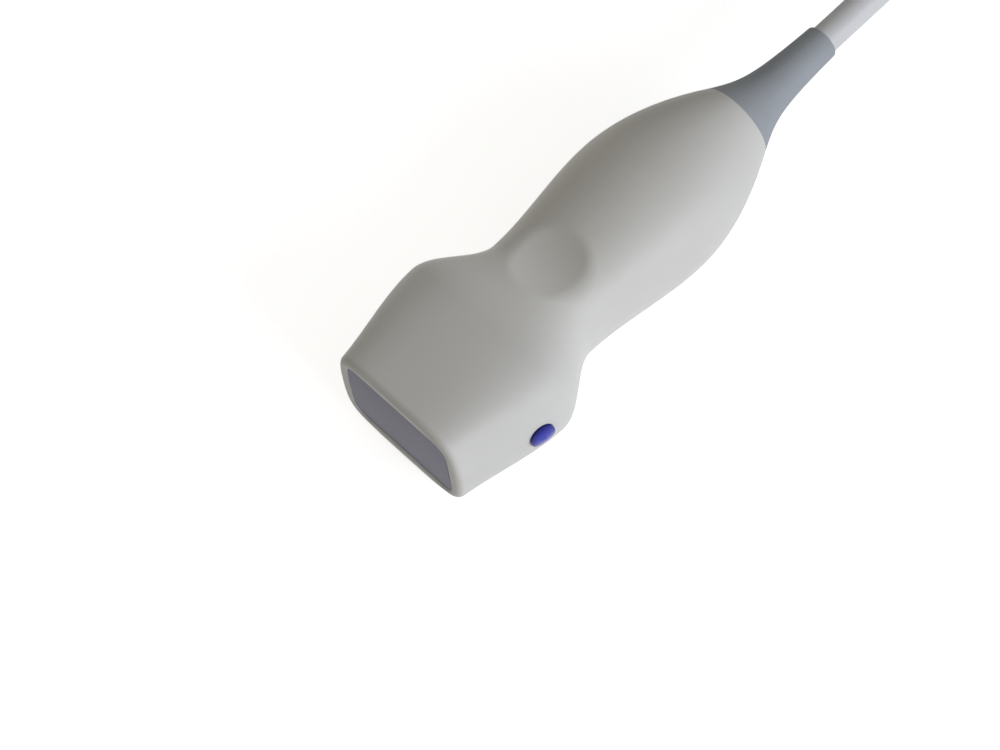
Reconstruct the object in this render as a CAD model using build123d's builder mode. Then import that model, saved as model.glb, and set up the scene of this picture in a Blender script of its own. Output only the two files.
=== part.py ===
from build123d import *
from math import cos, degrees, pi, radians, sin, tan
import os

# Phased-array ultrasound probe with its cable and connector, in millimetres.
# The handpiece lies on its broad side: lens towards -X, cable towards +X, +Z up.
# The origin is on the table, under the middle of the handpiece and its strain relief.

# Handpiece outline, from the scan face back: full widths, full thicknesses and stations
nose_width = 30.4
nose_thickness = 23.4
shoulder_width = 39.4
shoulder_thickness = 26.4
shoulder_station = 22.2
waist_width = 25.6
waist_thickness = 22.4
waist_station = 36.0
bulb_width = 31.0
bulb_thickness = 26.4
bulb_station = 61.5
collar_diameter = 16.0
collar_station = 85.9
nose_flare = 0.1
collar_taper = 0.55
nose_squareness = 0.92
shoulder_squareness = 0.76
waist_squareness = 0.66
bulb_squareness = 0.58
round_squareness = 0.5523
nose_edge_radius = 1.4
wall = 1.8
front_wall = 2.2

# Thumb rests, one on each broad face: a shallow dish that part of a large oval ball presses in
rest_station = 38.5
rest_depth = 1.5
rest_ball_length = 30.0
rest_ball_width = 90.0
rest_ball_height = 36.0
rest_edge_radius = 5.0

# Scan window and the acoustic stack behind it
window_rim = 2.6
window_corner = 3.0
window_edge = 0.3
fit_gap = 0.05
lens_recess = 0.4
lens_crown = 0.3
array_width = 19.2
array_margin = 1.4
element_count = 64
kerf = 0.05
outer_match_thickness = 0.45
inner_match_thickness = 0.35
foil_thickness = 0.1
crystal_thickness = 0.6
flex_thickness = 0.15
backing_depth = 12.0
frame_wall = 1.7
frame_seat = 0.5
frame_corner = 3.0

# Boards, their flex connectors and the screws that hold them to posts in the shells
board_thickness = 1.0
board_width = 16.0
board_length = 40.0
board_station = 23.5
flex_socket_height = 1.5
flex_socket_length = 4.0
flex_socket_margin = 0.8
post_radius = 2.0
front_post_station = 46.0
rear_post_station = 56.0
screw_radius = 0.8
screw_head_radius = 1.5
screw_head_height = 0.9
screw_grip = 3.5

# Cable entry: harness, clamp, braid ferrule and strain relief
cable_diameter = 5.8
cable_stub = 2.0
ribbon_thickness = 1.2
ribbon_overlap = 4.0
bundle_share = 0.66
clamp_clearance = 1.2
clamp_length = 6.0
clamp_width = 14.0
clamp_height = 9.4
clamp_split = 0.3
clamp_screw_spread = 9.4
clamp_screw_grip = 2.0
ferrule_length = 3.0
ferrule_wall = 0.6
boot_length = 23.6
boot_end_diameter = 6.9
boot_neck_length = 3.4
boot_flange_length = 1.6
boot_flange_step = 1.2
boot_end_edge = 0.4
boot_hollow = 0.272
boot_hollow_reach = 0.353
boot_hollow_fall = 0.605

# Orientation marker on the narrow side
marker_station = 17.0
marker_length = 5.0
marker_height = 6.2
marker_depth = 1.4
marker_proud = 0.8
marker_dome_radius = 9.0

# Coiled cable and its tie
coil_mean_diameter = 64.0
coil_rows = 3
coil_clearance = 5.8
coil_edge = 5.0
tie_thickness = 0.8
tie_width = 9.0
tie_angle = -35.0
tail_reach = 83.0
tail_bow = 1.5
tail_run_in = 8.5

# Connector: a flat box that lies on the coil, contact face down and lock knob up
plug_length = 74.0
plug_width = 58.0
plug_base_height = 10.0
plug_cover_height = 12.0
plug_corner = 8.0
plug_wall = 2.0
plug_edge = 3.0
plug_back = 15.0
plug_side = 14.2
contact_columns = 5
contact_rows = 4
contact_pitch = 3.6
contact_size = 1.6
block_length = 54.0
block_width = 24.0
block_thickness = 5.0
block_flange = 1.0
lock_shaft_radius = 3.5
lock_pin_radius = 1.0
lock_recess_radius = 8.0
lock_recess_depth = 3.0
lock_collar_radius = 5.0
lock_collar_height = 1.2
knob_radius = 13.0
knob_base = 4.0
knob_grip_width = 7.0
knob_grip_height = 6.0
knob_gap = 0.3
running_gap = 0.05
plug_board_thickness = 1.6
plug_board_length = 44.0
plug_board_width = 34.0
plug_screw_radius = 1.25
plug_screw_head_radius = 2.4
plug_screw_head_height = 1.6
plug_screw_inset = 8.0
plug_post_radius = 3.2
plug_boot_length = 22.0
plug_boot_diameter = 13.0
saddle_length = 6.0
saddle_width = 20.0
saddle_height = 2.0
saddle_screw_spread = 13.0

# Places that follow from those sizes
handpiece_length = collar_station + boot_length
lens_x = -handpiece_length / 2
boot_end_x = lens_x + handpiece_length
axis_height = max(shoulder_thickness, bulb_thickness) / 2
window_width = nose_width - 2 * window_rim
window_height = nose_thickness - 2 * window_rim
array_height = window_height - 2 * array_margin
boot_flange_station = collar_station - boot_neck_length - boot_flange_length
clamp_station = boot_flange_station - clamp_clearance - ferrule_length - clamp_length / 2
cable_end_station = clamp_station - clamp_length / 2 - cable_stub
cable_radius = cable_diameter / 2
coil_radius = coil_mean_diameter / 2
coil_bundle = coil_rows * cable_diameter
outer_turn = coil_radius + coil_bundle / 2 - cable_radius
coil_centre = (boot_end_x + coil_clearance + coil_bundle / 2 + coil_radius, outer_turn)
coil_base = tie_thickness
coil_top = coil_base + coil_bundle

os.makedirs("parts", exist_ok=True)


def finish_piece(piece, name):
    """Label a finished piece and write it as its own file."""
    piece.part.label = name
    export_step(piece.part, f"parts/{name}.step")


def between(first, second, share):
    """Return the value a given share of the way from the first to the second."""
    return first + (second - first) * share


def cross_plane(station):
    """Return the plane across the handpiece axis at a station behind the scan face."""
    return Plane(origin=(lens_x + station, 0, axis_height), x_dir=(0, 1, 0), z_dir=(1, 0, 0))


# Housing stations: place, half width, half thickness, squareness and slope of the outline there
housing_outline = [
    (0.0, nose_width / 2, nose_thickness / 2, nose_squareness, nose_flare),
    (shoulder_station, shoulder_width / 2, shoulder_thickness / 2, shoulder_squareness, 0.0),
    (waist_station, waist_width / 2, waist_thickness / 2, waist_squareness, 0.0),
    (bulb_station, bulb_width / 2, bulb_thickness / 2, bulb_squareness, 0.0),
    (collar_station, collar_diameter / 2, collar_diameter / 2, round_squareness, -collar_taper),
]


def quarter_outline(half_width, half_thickness, square):
    """Return the four control points of one rounded quarter of a section."""
    return [
        (half_width, 0.0),
        (half_width, square * half_thickness),
        (square * half_width, half_thickness),
        (0.0, half_thickness),
    ]


def span_rings(front, back, inset):
    """Return four rings of quarter control points that run smoothly from one station to the next."""
    reach = (back[0] - front[0]) / 3
    rings = []
    for station, lead in ((front, 0.0), (front, reach), (back, -reach), (back, 0.0)):
        place, half_width, half_thickness, square, slope = station
        grown = slope * lead - inset
        ring = quarter_outline(half_width + grown, half_thickness + grown, square)
        rings.append([(lens_x + place + lead, across, up) for across, up in ring])
    return rings


def end_cap(station, inset):
    """Return the flat face that closes the housing at one of its end stations."""
    place, half_width, half_thickness, square, _ = station
    a = half_width - inset
    b = half_thickness - inset
    with BuildSketch(cross_plane(place)) as cap:
        with BuildLine():
            Bezier((a, 0), (a, square * b), (square * a, b), (0, b))
            Bezier((0, b), (-square * a, b), (-a, square * b), (-a, 0))
            Bezier((-a, 0), (-a, -square * b), (-square * a, -b), (0, -b))
            Bezier((0, -b), (square * a, -b), (a, -square * b), (a, 0))
        make_face()
    return cap.sketch.face()


def housing_solid(inset):
    """Return the housing's smooth body, moved in from the outside by an inset."""
    faces = [end_cap(housing_outline[0], inset), end_cap(housing_outline[-1], inset)]
    for front, back in zip(housing_outline, housing_outline[1:]):
        rings = span_rings(front, back, inset)
        for side_y, side_z in ((1, 1), (-1, 1), (-1, -1), (1, -1)):
            net = [[(x, side_y * y, axis_height + side_z * z) for x, y, z in ring] for ring in rings]
            faces.append(Face.make_bezier_surface(net))
    return Solid(Shell(faces))


def thumb_rest(side, extra):
    """Make the flattened ball that presses a thumb rest into one broad face."""
    half_height = rest_ball_height / 2
    rest_level = waist_thickness / 2 - rest_depth + half_height
    with BuildPart(mode=Mode.PRIVATE) as ball:
        Sphere(1.0)
        scale(by=(rest_ball_length / 2 + extra, rest_ball_width / 2 + extra, half_height + extra))
    return Pos(lens_x + rest_station, 0, axis_height + side * rest_level) * ball.part


# Outside form of the housing: one smooth skin, rounded at the scan face and round both thumb rests
with BuildPart() as housing_form:
    add(housing_solid(0))
    scan_face = housing_form.faces().sort_by(Axis.X)[0]
    fillet(scan_face.edges(), nose_edge_radius)
    for side in (1, -1):
        add(thumb_rest(side, 0), mode=Mode.SUBTRACT)
        fillet(housing_form.edges(Select.NEW), rest_edge_radius)

# Space inside the housing, one wall in from the outside, behind the front wall
with BuildPart() as cavity:
    add(housing_solid(wall))
    for side in (1, -1):
        add(thumb_rest(side, wall), mode=Mode.SUBTRACT)
    split(bisect_by=Plane.YZ.offset(lens_x + front_wall), keep=Keep.TOP)

# Orientation marker: a domed oval button let into the narrow side, square to the surface there
nose_span = Bezier(*[(ring[0][0], -ring[0][1]) for ring in span_rings(*housing_outline[:2], 0)])
marker_share = marker_station / shoulder_station
marker_spot = nose_span @ marker_share
marker_run = nose_span % marker_share
marker_plane = Plane(
    origin=(marker_spot.X, marker_spot.Y, axis_height),
    x_dir=marker_run,
    z_dir=(marker_run.Y, -marker_run.X, 0),
)
marker_seat = marker_plane.offset(marker_proud - marker_depth)


def marker_oval(gap):
    """Return the marker's oval, grown by a gap, on the floor of its pocket."""
    with BuildSketch(marker_seat) as oval:
        Ellipse(marker_length / 2 + gap, marker_height / 2 + gap)
    return oval.sketch


with BuildPart() as orientation_marker:
    extrude(marker_oval(0), amount=marker_depth)
    with Locations(marker_plane.offset(marker_proud - marker_dome_radius)):
        Sphere(marker_dome_radius, mode=Mode.INTERSECT)
finish_piece(orientation_marker, "orientation_marker")

# Both shells in one, with the scan window, the marker's pocket and the open collar at the back
with BuildPart() as housing_shell:
    add(housing_form.part)
    add(cavity.part, mode=Mode.SUBTRACT)
    with BuildSketch(cross_plane(0)):
        RectangleRounded(window_width, window_height, window_corner)
    extrude(amount=front_wall, mode=Mode.SUBTRACT)
    rim = housing_shell.faces().sort_by(Axis.X)[0]
    chamfer(rim.inner_wires().edges(), window_edge)
    extrude(marker_oval(fit_gap), amount=marker_depth * 2, mode=Mode.SUBTRACT)

# Levels inside the handpiece, measured from its axis
flex_level = array_height / 2
board_face = flex_level - flex_socket_height
board_inner = board_face - board_thickness
clamp_half = clamp_height / 2
post_stations = (front_post_station, rear_post_station)
clamp_screws_y = (-clamp_screw_spread / 2, clamp_screw_spread / 2)
pilot_radius = screw_radius + fit_gap
board_pilot_depth = screw_grip - board_thickness
shell_depth = axis_height


def shell_posts(side):
    """Return the moulded posts of one shell, cut off at the outside of the housing."""
    with BuildPart() as posts:
        post_middle = axis_height + side * (board_face + shell_depth / 2)
        with Locations(*[(lens_x + station, 0, post_middle) for station in post_stations]):
            Cylinder(post_radius, shell_depth)
        pilot_middle = axis_height + side * (board_face + board_pilot_depth / 2)
        with Locations(*[(lens_x + station, 0, pilot_middle) for station in post_stations]):
            Cylinder(pilot_radius, board_pilot_depth, mode=Mode.SUBTRACT)
        if side < 0:
            foot = axis_height - clamp_half
            with Locations(*[(lens_x + clamp_station, y, foot - shell_depth / 2) for y in clamp_screws_y]):
                Cylinder(post_radius, shell_depth)
            pilot_level = foot - clamp_screw_grip / 2
            with Locations(*[(lens_x + clamp_station, y, pilot_level) for y in clamp_screws_y]):
                Cylinder(pilot_radius, clamp_screw_grip, mode=Mode.SUBTRACT)
        add(housing_form.part, mode=Mode.INTERSECT)
    return posts.part


# Upper and lower shells: moulded halves that meet face to face at the handpiece's mid plane
mid_plane = Plane.XY.offset(axis_height)
with BuildPart() as upper_shell:
    add(housing_shell.part)
    split(bisect_by=mid_plane, keep=Keep.TOP)
    add(shell_posts(1))
finish_piece(upper_shell, "upper_shell")

with BuildPart() as lower_shell:
    add(housing_shell.part)
    split(bisect_by=mid_plane, keep=Keep.BOTTOM)
    add(shell_posts(-1))
finish_piece(lower_shell, "lower_shell")

# Lens: silicone rubber in the scan window, crowned across its height
lens_plane = Plane(origin=(lens_x, 0, axis_height), x_dir=(1, 0, 0), z_dir=(0, -1, 0))
with BuildPart() as lens:
    half_lens = window_height / 2 - fit_gap
    with BuildSketch(lens_plane):
        with BuildLine():
            lens_side = Polyline(
                (lens_recess, half_lens),
                (front_wall, half_lens),
                (front_wall, -half_lens),
                (lens_recess, -half_lens),
            )
            ThreePointArc(lens_side @ 1, (lens_recess - lens_crown, 0), lens_side @ 0)
        make_face()
    extrude(amount=window_width / 2 - fit_gap, both=True)
    fillet(lens.edges().filter_by(Axis.X), window_corner - fit_gap)
finish_piece(lens, "lens")

# Acoustic stack, from the lens back: each layer starts where the one before it ends
outer_match_start = front_wall
inner_match_start = outer_match_start + outer_match_thickness
foil_start = inner_match_start + inner_match_thickness
crystal_start = foil_start + foil_thickness
flex_start = crystal_start + crystal_thickness
backing_start = flex_start + flex_thickness
backing_end = backing_start + backing_depth


def stack_layer(start, thickness):
    """Return one flat layer of the acoustic stack."""
    with BuildPart() as layer:
        with BuildSketch(cross_plane(start)):
            Rectangle(array_width, array_height)
        extrude(amount=thickness)
    return layer


outer_matching_layer = stack_layer(outer_match_start, outer_match_thickness)
finish_piece(outer_matching_layer, "outer_matching_layer")
inner_matching_layer = stack_layer(inner_match_start, inner_match_thickness)
finish_piece(inner_matching_layer, "inner_matching_layer")
ground_foil = stack_layer(foil_start, foil_thickness)
finish_piece(ground_foil, "ground_foil")
backing_block = stack_layer(backing_start, backing_depth)
finish_piece(backing_block, "backing_block")

# Piezo array: one crystal diced into a row of narrow elements
element_pitch = array_width / element_count
with BuildPart() as piezo_array:
    with BuildSketch(cross_plane(crystal_start)):
        with GridLocations(element_pitch, 0, element_count, 1):
            Rectangle(element_pitch - kerf, array_height)
    extrude(amount=crystal_thickness)
finish_piece(piezo_array, "piezo_array")

# Signal flex: a printed film behind the crystal, folded back over both sides of the backing
flex_end = board_station + flex_socket_margin + flex_socket_length
with BuildPart() as signal_flex:
    with BuildSketch(cross_plane(flex_start)):
        Rectangle(array_width, array_height + 2 * flex_thickness)
    extrude(amount=flex_thickness)
    with BuildSketch(cross_plane(flex_start)):
        with GridLocations(0, array_height + flex_thickness, 1, 2):
            Rectangle(array_width, flex_thickness)
    extrude(amount=flex_end - flex_start)
finish_piece(signal_flex, "signal_flex")

# Array frame: an aluminium sleeve round the stack, seated behind the window, that draws its heat away
with BuildPart() as array_frame:
    opening_width = array_width + 2 * fit_gap
    opening_height = array_height + 2 * (flex_thickness + fit_gap)
    with BuildSketch(cross_plane(front_wall)):
        RectangleRounded(opening_width + 2 * frame_wall, window_height + 2 * frame_seat, frame_corner)
        Rectangle(opening_width, opening_height, mode=Mode.SUBTRACT)
    extrude(amount=backing_end - front_wall)
finish_piece(array_frame, "array_frame")


def interconnect_board(side):
    """Return the board on one side of the axis, with its two screw holes."""
    with BuildPart() as board:
        board_plane = Plane.XY.offset(axis_height + side * (board_inner + board_thickness / 2))
        with BuildSketch(board_plane):
            with Locations((lens_x + board_station + board_length / 2, 0)):
                Rectangle(board_length, board_width)
            with Locations(*[(lens_x + station, 0) for station in post_stations]):
                Circle(pilot_radius, mode=Mode.SUBTRACT)
        extrude(amount=board_thickness / 2, both=True)
    return board


upper_board = interconnect_board(1)
finish_piece(upper_board, "upper_board")
lower_board = interconnect_board(-1)
finish_piece(lower_board, "lower_board")

# Flex sockets: low connectors soldered to the front of each board, under the flex tails
with BuildPart() as flex_sockets:
    socket_x = lens_x + flex_end - flex_socket_length / 2
    socket_z = board_face + flex_socket_height / 2
    with Locations((socket_x, 0, axis_height + socket_z), (socket_x, 0, axis_height - socket_z)):
        Box(flex_socket_length, board_width - 2 * flex_socket_margin, flex_socket_height)
finish_piece(flex_sockets, "flex_sockets")


def screw_on(head_plane, length, radius, head_radius, head_height):
    """Return a pan-head screw whose shank runs back from the plane under its head."""
    with BuildPart() as screw:
        with BuildSketch(head_plane):
            Circle(radius)
        extrude(amount=-length)
        with BuildSketch(head_plane):
            Circle(head_radius)
        extrude(amount=head_height)
    return screw.part


# Board screws: two through each board into its posts
with BuildPart() as board_screws:
    for side in (1, -1):
        for station in post_stations:
            under_head = Plane(
                origin=(lens_x + station, 0, axis_height + side * board_inner),
                x_dir=(1, 0, 0),
                z_dir=(0, 0, -side),
            )
            add(screw_on(under_head, screw_grip, screw_radius, screw_head_radius, screw_head_height))
finish_piece(board_screws, "board_screws")

# Coax harness: two flat bundles that spread from the cable's end to the boards
board_end = board_station + board_length
ribbon_level = board_inner - ribbon_thickness / 2
ribbon_width = board_width - 4 * flex_socket_margin
bundle_side = cable_radius * bundle_share


def bundle_section(plane, level, width, thickness):
    """Return one flat section of a bundle of wires."""
    with BuildSketch(plane) as section:
        with Locations((0, level)):
            Rectangle(width, thickness)
    return section.sketch


with BuildPart() as coax_harness:
    for side in (1, -1):
        board_plane = cross_plane(board_end)
        cable_plane = cross_plane(cable_end_station)
        bundle_level = side * (bundle_side / 2 + fit_gap)
        ribbon_end = bundle_section(board_plane, side * ribbon_level, ribbon_width, ribbon_thickness)
        bundle_end = bundle_section(cable_plane, bundle_level, 2 * bundle_side, bundle_side)
        extrude(ribbon_end, amount=-ribbon_overlap)
        loft([ribbon_end, bundle_end])
finish_piece(coax_harness, "coax_harness")


def cable_clamp(side):
    """Return one half of the clamp that grips the cable's jacket."""
    with BuildPart() as clamp:
        half_thickness = clamp_half - clamp_split / 2
        clamp_middle = axis_height + side * (clamp_half + clamp_split / 2) / 2
        with Locations((lens_x + clamp_station, 0, clamp_middle)):
            Box(clamp_length, clamp_width, half_thickness)
        with BuildSketch(cross_plane(clamp_station)):
            Circle(cable_radius + fit_gap)
        extrude(amount=clamp_length / 2, both=True, mode=Mode.SUBTRACT)
        with Locations(*[(lens_x + clamp_station, y, clamp_middle) for y in clamp_screws_y]):
            Cylinder(pilot_radius, half_thickness, mode=Mode.SUBTRACT)
    return clamp


upper_clamp = cable_clamp(1)
finish_piece(upper_clamp, "upper_clamp")
lower_clamp = cable_clamp(-1)
finish_piece(lower_clamp, "lower_clamp")

with BuildPart() as clamp_screws:
    clamp_top = axis_height + clamp_half
    for y in clamp_screws_y:
        under_head = Plane(origin=(lens_x + clamp_station, y, clamp_top))
        shank = clamp_height + clamp_screw_grip
        add(screw_on(under_head, shank, screw_radius, screw_head_radius, screw_head_height))
finish_piece(clamp_screws, "clamp_screws")

# Braid ferrule: a ring crimped round the cable just behind the clamp
ferrule_station = clamp_station + clamp_length / 2
with BuildPart() as braid_ferrule:
    with BuildSketch(cross_plane(ferrule_station)):
        Circle(cable_radius + fit_gap + ferrule_wall)
        Circle(cable_radius + fit_gap, mode=Mode.SUBTRACT)
    extrude(amount=ferrule_length)
finish_piece(braid_ferrule, "braid_ferrule")


def boot_profile(origin, collar, neck, neck_length, end, length):
    """Return the half profile of a moulded boot: flange, neck, then a hollow taper."""
    bore = cable_radius + fit_gap
    neck_start = -neck_length
    flange_start = neck_start - boot_flange_length
    with BuildSketch(Plane(origin=origin, x_dir=(1, 0, 0), z_dir=(0, -1, 0))) as profile:
        with BuildLine():
            Polyline(
                (length, bore),
                (flange_start, bore),
                (flange_start, neck + boot_flange_step),
                (neck_start, neck + boot_flange_step),
                (neck_start, neck),
                (0, neck),
                (0, collar),
            )
            hollow = between(end, collar, boot_hollow)
            first_pull = (length * boot_hollow, hollow)
            second_pull = (length * boot_hollow_reach, hollow - boot_hollow_fall)
            Bezier((0, collar), first_pull, second_pull, (length, end))
            Line((length, end), (length, bore))
        make_face()
    return profile.sketch


# Strain relief boot: soft moulding whose flange is held behind the shells' collar
collar_radius = collar_diameter / 2
boot_origin = (lens_x + collar_station, 0, axis_height)
boot_neck = collar_radius - wall - fit_gap
with BuildPart() as strain_relief_boot:
    add(
        boot_profile(
            boot_origin, collar_radius, boot_neck, boot_neck_length, boot_end_diameter / 2, boot_length
        )
    )
    revolve(axis=Axis(boot_origin, (1, 0, 0)))
    boot_lip = strain_relief_boot.faces().sort_by(Axis.X)[-1]
    fillet(boot_lip.outer_wire().edges(), boot_end_edge)
finish_piece(strain_relief_boot, "strain_relief_boot")

# Coil: the outer shape of the cable's wound turns, a ring lying on the table
coil_axis = Axis((coil_centre[0], coil_centre[1], 0), (0, 0, 1))
bundle_middle = coil_base + coil_bundle / 2


def coil_section_plane(angle):
    """Return the upright plane through the coil's axis at an angle from +X."""
    outward = (cos(radians(angle)), sin(radians(angle)), 0)
    across = (sin(radians(angle)), -cos(radians(angle)), 0)
    middle = (
        coil_centre[0] + coil_radius * outward[0],
        coil_centre[1] + coil_radius * outward[1],
        bundle_middle,
    )
    return Plane(origin=middle, x_dir=outward, z_dir=across)


with BuildPart() as cable_coil:
    with BuildSketch(coil_section_plane(90)):
        RectangleRounded(coil_bundle, coil_bundle, coil_edge)
    revolve(axis=coil_axis)
finish_piece(cable_coil, "cable_coil")

# Tie: a soft strap closed round the coil's bundle
tie_sweep = degrees(tie_width / coil_radius)
with BuildPart() as cable_tie:
    with BuildSketch(coil_section_plane(tie_angle - tie_sweep / 2)):
        strap_side = coil_bundle + 2 * tie_thickness
        RectangleRounded(strap_side, strap_side, coil_edge + tie_thickness)
        RectangleRounded(coil_bundle, coil_bundle, coil_edge, mode=Mode.SUBTRACT)
    revolve(axis=coil_axis, revolution_arc=tie_sweep)
finish_piece(cable_tie, "cable_tie")

# Cable lead: straight out of the clamp, through the boot and on to the coil
with BuildPart() as cable_lead:
    with BuildSketch(cross_plane(cable_end_station)):
        Circle(cable_radius)
    lead_end = coil_centre[0] - 2 * cable_diameter
    extrude(amount=lead_end - lens_x - cable_end_station)
    add(cable_coil.part, mode=Mode.SUBTRACT)
finish_piece(cable_lead, "cable_lead")

# Connector frame: its middle, its levels and the height of its cable
plug_x = coil_centre[0] - plug_back
plug_y = coil_centre[1] + plug_side
plug_floor = coil_top
plug_split = plug_floor + plug_base_height
plug_top = plug_split + plug_cover_height
plug_end = plug_x + plug_length / 2
plug_cable_end = plug_end - plug_wall - saddle_length - 3 * running_gap - boot_flange_length

# Cable tail: off the foot of the coil, along the table, round and up into the connector
tail_low = coil_base + cable_radius
tail_near = coil_centre[1] - outer_turn


def tail_point(along, across, height):
    """Return a corner of the tail's route, as shares of its reach and of its way to the connector."""
    return (coil_centre[0] + along * tail_reach, between(tail_near, plug_y, across), height)


tail_route = [
    tail_point(0.0, 0.0, tail_low),
    (coil_centre[0] + 0.36 * tail_reach, tail_near - tail_bow, tail_low),
    tail_point(0.75, 0.0, tail_low),
    tail_point(0.94, 0.19, tail_low),
    tail_point(1.0, 0.5, between(tail_low, plug_split, 0.125)),
    tail_point(0.95, 0.81, between(tail_low, plug_split, 0.43)),
    tail_point(0.81, 1.0, between(tail_low, plug_split, 0.77)),
    (plug_end + plug_boot_length + tail_run_in, plug_y, plug_split),
    (plug_cable_end, plug_y, plug_split),
]


def bend_radii(route):
    """Return the largest even bend at each corner of a route, from its shorter run."""
    radii = []
    corners = [Vector(*point) for point in route]
    for before, corner, after in zip(corners, corners[1:], corners[2:]):
        run_in = corner - before
        run_out = after - corner
        turn = radians(run_in.get_angle(run_out))
        radii.append(0.45 * min(run_in.length, run_out.length) / tan(turn / 2))
    return radii


with BuildPart() as cable_tail:
    with BuildLine() as tail_path:
        FilletPolyline(*tail_route, radius=bend_radii(tail_route))
    with BuildSketch(Plane(origin=tail_path.line @ 0, z_dir=tail_path.line % 0)):
        Circle(cable_radius)
    tail_wire = tail_path.wire()
    sweep(path=tail_wire)
    tail_share = cable_tail.part.volume / (pi * cable_radius**2 * tail_wire.length)
    add(cable_coil.part, mode=Mode.SUBTRACT)
print("tail radii", [round(radius, 1) for radius in bend_radii(tail_route)])
print("tail volume over section times length", round(tail_share, 4), "length", round(tail_wire.length, 1))
finish_piece(cable_tail, "cable_tail")

# Strain relief of the connector, held between its two shells
plug_boot_origin = (plug_end, plug_y, plug_split)
plug_neck = plug_boot_diameter / 2 - plug_wall
with BuildPart() as plug_boot:
    add(
        boot_profile(
            plug_boot_origin,
            plug_boot_diameter / 2,
            plug_neck,
            plug_wall + fit_gap,
            boot_end_diameter / 2,
            plug_boot_length,
        )
    )
    revolve(axis=Axis(plug_boot_origin, (1, 0, 0)))
finish_piece(plug_boot, "plug_boot")

# Connector shells: a base with the contact window and a cover with the lock's bearing
corner_x = plug_length / 2 - plug_screw_inset
corner_y = plug_width / 2 - plug_screw_inset
screw_corners = [
    (plug_x + side_x * corner_x, plug_y + side_y * corner_y) for side_x in (-1, 1) for side_y in (-1, 1)
]
saddle_x = plug_end - plug_wall - boot_flange_length - 2 * running_gap - saddle_length / 2
saddle_screws = [(saddle_x, plug_y + side_y * saddle_screw_spread / 2) for side_y in (-1, 1)]
saddle_level = plug_split + cable_radius
inner_length = plug_length - 2 * plug_wall
inner_width = plug_width - 2 * plug_wall
inner_corner = plug_corner - plug_wall

with BuildPart() as plug_base:
    with BuildSketch(Plane.XY.offset(plug_floor)):
        with Locations((plug_x, plug_y)):
            RectangleRounded(plug_length, plug_width, plug_corner)
    extrude(amount=plug_base_height)
    chamfer(plug_base.faces().sort_by(Axis.Z)[0].edges(), plug_wall / 2)
    with BuildSketch(Plane.XY.offset(plug_floor + plug_wall)):
        with Locations((plug_x, plug_y)):
            RectangleRounded(inner_length, inner_width, inner_corner)
    extrude(amount=plug_base_height, mode=Mode.SUBTRACT)
    with BuildSketch(Plane.XY.offset(plug_floor)):
        with Locations((plug_x, plug_y)):
            Rectangle(block_length + 2 * fit_gap, block_width + 2 * fit_gap)
    extrude(amount=plug_wall, mode=Mode.SUBTRACT)
    with BuildSketch(Plane.XY.offset(plug_floor + plug_wall)):
        with Locations(*screw_corners):
            Circle(plug_post_radius)
    extrude(amount=plug_base_height - plug_wall)
    with BuildSketch(Plane.XY.offset(plug_floor + plug_wall)):
        with Locations(*saddle_screws):
            Circle(post_radius)
    extrude(amount=saddle_level - plug_floor - plug_wall)
    with BuildSketch(Plane.XY.offset(saddle_level)):
        with Locations(*saddle_screws):
            Circle(pilot_radius)
    extrude(amount=-screw_grip, mode=Mode.SUBTRACT)
    with BuildSketch(Plane.XY.offset(plug_floor)):
        with Locations(*screw_corners):
            Circle(plug_screw_radius + fit_gap)
    extrude(amount=plug_base_height, mode=Mode.SUBTRACT)
    with BuildSketch(Plane.XY.offset(plug_floor)):
        with Locations(*screw_corners):
            Circle(plug_screw_head_radius + fit_gap)
    extrude(amount=plug_screw_head_height + fit_gap, mode=Mode.SUBTRACT)
    with BuildSketch(Plane(origin=plug_boot_origin, x_dir=(0, 1, 0), z_dir=(1, 0, 0))):
        Circle(plug_neck + fit_gap)
    extrude(amount=-plug_wall - fit_gap, mode=Mode.SUBTRACT)
finish_piece(plug_base, "plug_base")

with BuildPart() as plug_cover:
    with BuildSketch(Plane.XY.offset(plug_split)):
        with Locations((plug_x, plug_y)):
            RectangleRounded(plug_length, plug_width, plug_corner)
    extrude(amount=plug_cover_height)
    fillet(plug_cover.faces().sort_by(Axis.Z)[-1].edges(), plug_edge)
    with BuildSketch(Plane.XY.offset(plug_split)):
        with Locations((plug_x, plug_y)):
            RectangleRounded(inner_length, inner_width, inner_corner)
    extrude(amount=plug_cover_height - plug_wall, mode=Mode.SUBTRACT)
    with BuildSketch(Plane.XY.offset(plug_split)):
        with Locations(*screw_corners):
            Circle(plug_post_radius)
            Circle(plug_screw_radius + fit_gap, mode=Mode.SUBTRACT)
    extrude(amount=plug_cover_height - plug_wall)
    with BuildSketch(Plane.XY.offset(plug_split)):
        with Locations((plug_x, plug_y)):
            Circle(lock_shaft_radius + running_gap)
    extrude(amount=plug_cover_height, mode=Mode.SUBTRACT)
    with BuildSketch(Plane(origin=plug_boot_origin, x_dir=(0, 1, 0), z_dir=(1, 0, 0))):
        Circle(plug_neck + fit_gap)
    extrude(amount=-plug_wall - fit_gap, mode=Mode.SUBTRACT)
finish_piece(plug_cover, "plug_cover")

with BuildPart() as plug_screws:
    head_level = plug_floor + plug_screw_head_height
    shank = plug_base_height + plug_cover_height / 2 - plug_screw_head_height
    for x, y in screw_corners:
        under_head = Plane(origin=(x, y, head_level), x_dir=(1, 0, 0), z_dir=(0, 0, -1))
        add(screw_on(under_head, shank, plug_screw_radius, plug_screw_head_radius, plug_screw_head_height))
finish_piece(plug_screws, "plug_screws")

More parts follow.
